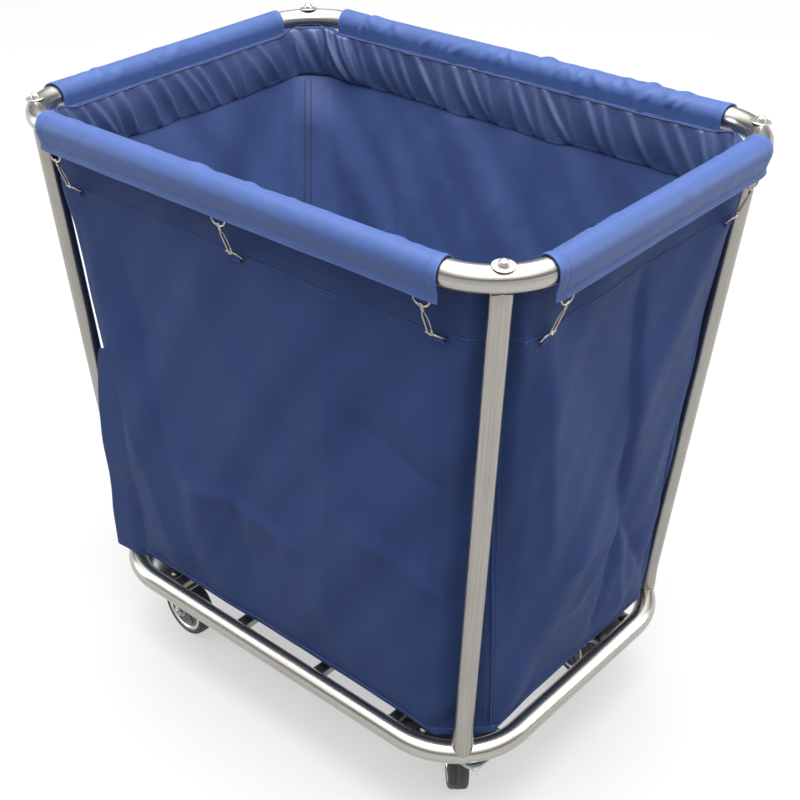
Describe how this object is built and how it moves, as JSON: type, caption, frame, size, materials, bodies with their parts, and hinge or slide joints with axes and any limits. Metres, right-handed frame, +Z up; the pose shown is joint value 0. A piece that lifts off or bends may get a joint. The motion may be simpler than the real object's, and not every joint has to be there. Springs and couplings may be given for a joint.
{
  "type": "laundry cart",
  "caption": "Wheeled laundry cart with a tapered steel tube frame, swivel casters and a blue fabric bag folded over its top rail and held by snap hooks.",
  "frame": {"origin": "on the floor, under the middle of the cart", "axes": "+Z up, X along the cart's long sides, -Y towards the near long side"},
  "size_m": [0.8784, 0.6284, 0.9232],
  "materials": {
    "stainless_rail": "satin",
    "stainless_leg": "satin",
    "bolt_steel": "bright",
    "zinc_plate": "zinc plated",
    "wheel_centre": "moulded",
    "tyre_rubber": "matte",
    "canvas": "coated woven cloth",
    "flap_canvas": "coated woven cloth",
    "hook_chrome": "bright"
  },
  "bodies": {
    "frame": {"bag_back": "canvas", "bag_flap_back": "flap_canvas", "bag_flap_front": "flap_canvas", "bag_flap_left": "flap_canvas", "bag_flap_right": "flap_canvas", "bag_floor": "canvas", "bag_front": "canvas", "bag_left": "canvas", "bag_right": "canvas", "bottom_rail": "stainless_rail", "caster_plate_far_left": "zinc_plate", "caster_plate_far_right": "zinc_plate", "caster_plate_near_left": "zinc_plate", "caster_plate_near_right": "zinc_plate", "corner_bolt_far_left": "bolt_steel", "corner_bolt_far_right": "bolt_steel", "corner_bolt_near_left": "bolt_steel", "corner_bolt_near_right": "bolt_steel", "cross_bar_1": "stainless_leg", "cross_bar_2": "stainless_leg", "cross_bar_3": "stainless_leg", "cross_bar_4": "stainless_leg", "leg_far_left": "stainless_leg", "leg_far_right": "stainless_leg", "leg_near_left": "stainless_leg", "leg_near_right": "stainless_leg", "mount_plate_far_left": "zinc_plate", "mount_plate_far_right": "zinc_plate", "mount_plate_near_left": "zinc_plate", "mount_plate_near_right": "zinc_plate", "top_rail": "stainless_rail"},
    "swivel_near_left": {"caster_fork_near_left": "zinc_plate", "caster_axle_near_left": "bolt_steel"},
    "wheel_near_left": {"caster_hub_near_left": "wheel_centre", "caster_tyre_near_left": "tyre_rubber"},
    "swivel_near_right": {"caster_fork_near_right": "zinc_plate", "caster_axle_near_right": "bolt_steel"},
    "wheel_near_right": {"caster_hub_near_right": "wheel_centre", "caster_tyre_near_right": "tyre_rubber"},
    "swivel_far_right": {"caster_fork_far_right": "zinc_plate", "caster_axle_far_right": "bolt_steel"},
    "wheel_far_right": {"caster_hub_far_right": "wheel_centre", "caster_tyre_far_right": "tyre_rubber"},
    "swivel_far_left": {"caster_fork_far_left": "zinc_plate", "caster_axle_far_left": "bolt_steel"},
    "wheel_far_left": {"caster_hub_far_left": "wheel_centre", "caster_tyre_far_left": "tyre_rubber"},
    "hook_right_1": {"snap_hook_right_1": "hook_chrome"},
    "hook_right_2": {"snap_hook_right_2": "hook_chrome"},
    "hook_back_1": {"snap_hook_back_1": "hook_chrome"},
    "hook_back_2": {"snap_hook_back_2": "hook_chrome"},
    "hook_back_3": {"snap_hook_back_3": "hook_chrome"},
    "hook_left_1": {"snap_hook_left_1": "hook_chrome"},
    "hook_left_2": {"snap_hook_left_2": "hook_chrome"},
    "hook_front_1": {"snap_hook_front_1": "hook_chrome"},
    "hook_front_2": {"snap_hook_front_2": "hook_chrome"},
    "hook_front_3": {"snap_hook_front_3": "hook_chrome"}
  },
  "joints": [
    {"name": "swivel_turn_near_left", "type": "hinge", "parent": "frame", "child": "swivel_near_left", "pos_m": [-0.301, -0.187, 0.1], "axis": [0, 0, 1], "continuous": true},
    {"name": "wheel_roll_near_left", "type": "hinge", "parent": "swivel_near_left", "child": "wheel_near_left", "pos_m": [-0.26309, -0.18965, 0.04969], "axis": [0.0698, 0.9976, 0], "continuous": true},
    {"name": "swivel_turn_near_right", "type": "hinge", "parent": "frame", "child": "swivel_near_right", "pos_m": [0.301, -0.187, 0.1], "axis": [0, 0, 1], "continuous": true},
    {"name": "wheel_roll_near_right", "type": "hinge", "parent": "swivel_near_right", "child": "wheel_near_right", "pos_m": [0.27557, -0.15876, 0.04969], "axis": [-0.7431, -0.6691, 0], "continuous": true},
    {"name": "swivel_turn_far_right", "type": "hinge", "parent": "frame", "child": "swivel_far_right", "pos_m": [0.301, 0.14, 0.1], "axis": [0, 0, 1], "continuous": true},
    {"name": "wheel_roll_far_right", "type": "hinge", "parent": "swivel_far_right", "child": "wheel_far_right", "pos_m": [0.26577, 0.15424, 0.04969], "axis": [-0.3746, -0.9272, 0], "continuous": true},
    {"name": "swivel_turn_far_left", "type": "hinge", "parent": "frame", "child": "swivel_far_left", "pos_m": [-0.301, 0.14, 0.1], "axis": [0, 0, 1], "continuous": true},
    {"name": "wheel_roll_far_left", "type": "hinge", "parent": "swivel_far_left", "child": "wheel_far_left", "pos_m": [-0.26987, 0.1618, 0.04969], "axis": [-0.5736, 0.8192, 0], "continuous": true},
    {"name": "hook_swing_right_1", "type": "hinge", "parent": "frame", "child": "hook_right_1", "pos_m": [0.4295, -0.2, 0.8555], "axis": [0, -1, 0], "range_deg": [0, 95]},
    {"name": "hook_swing_right_2", "type": "hinge", "parent": "frame", "child": "hook_right_2", "pos_m": [0.4295, 0.2, 0.8555], "axis": [0, -1, 0], "range_deg": [0, 95]},
    {"name": "hook_swing_back_1", "type": "hinge", "parent": "frame", "child": "hook_back_1", "pos_m": [0.315, 0.3045, 0.8555], "axis": [1, 0, 0], "range_deg": [0, 95]},
    {"name": "hook_swing_back_2", "type": "hinge", "parent": "frame", "child": "hook_back_2", "pos_m": [0, 0.3045, 0.8555], "axis": [1, 0, 0], "range_deg": [0, 95]},
    {"name": "hook_swing_back_3", "type": "hinge", "parent": "frame", "child": "hook_back_3", "pos_m": [-0.315, 0.3045, 0.8555], "axis": [1, 0, 0], "range_deg": [0, 95]},
    {"name": "hook_swing_left_1", "type": "hinge", "parent": "frame", "child": "hook_left_1", "pos_m": [-0.4295, 0.2, 0.8555], "axis": [0, 1, 0], "range_deg": [0, 95]},
    {"name": "hook_swing_left_2", "type": "hinge", "parent": "frame", "child": "hook_left_2", "pos_m": [-0.4295, -0.2, 0.8555], "axis": [0, 1, 0], "range_deg": [0, 95]},
    {"name": "hook_swing_front_1", "type": "hinge", "parent": "frame", "child": "hook_front_1", "pos_m": [-0.315, -0.3045, 0.8555], "axis": [-1, 0, 0], "range_deg": [0, 95]},
    {"name": "hook_swing_front_2", "type": "hinge", "parent": "frame", "child": "hook_front_2", "pos_m": [0, -0.3045, 0.8555], "axis": [-1, 0, 0], "range_deg": [0, 95]},
    {"name": "hook_swing_front_3", "type": "hinge", "parent": "frame", "child": "hook_front_3", "pos_m": [0.315, -0.3045, 0.8555], "axis": [-1, 0, 0], "range_deg": [0, 95]}
  ]
}
